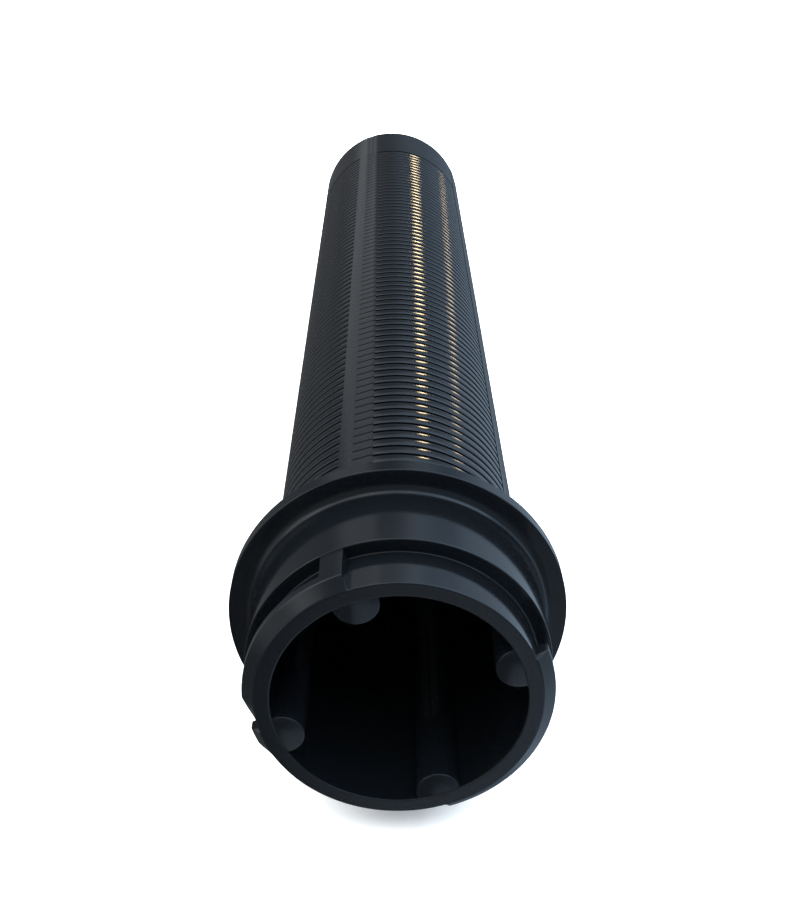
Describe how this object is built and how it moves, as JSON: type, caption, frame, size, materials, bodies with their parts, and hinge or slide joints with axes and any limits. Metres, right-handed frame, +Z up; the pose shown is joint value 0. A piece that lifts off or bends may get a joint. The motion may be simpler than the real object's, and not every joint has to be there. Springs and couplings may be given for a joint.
{
  "type": "sand filter lateral",
  "caption": "Slotted tube with a stop flange and a bayonet spigot that lets filtered water out of a sand filter's bed.",
  "frame": {"origin": "centre of the bottom of the part's box, on the surface that the part lies on", "axes": "+Z up; the closed far end points along +Y and the open mouth along -Y, raised by the lean at which the part rests on its flange and its far end"},
  "size_m": [0.0414, 0.1924, 0.0414],
  "materials": {
    "black_polypropylene": "injection moulded black polypropylene with a soft gloss"
  },
  "bodies": {
    "root": {"slotted_lateral": "black_polypropylene"}
  },
  "joints": []
}
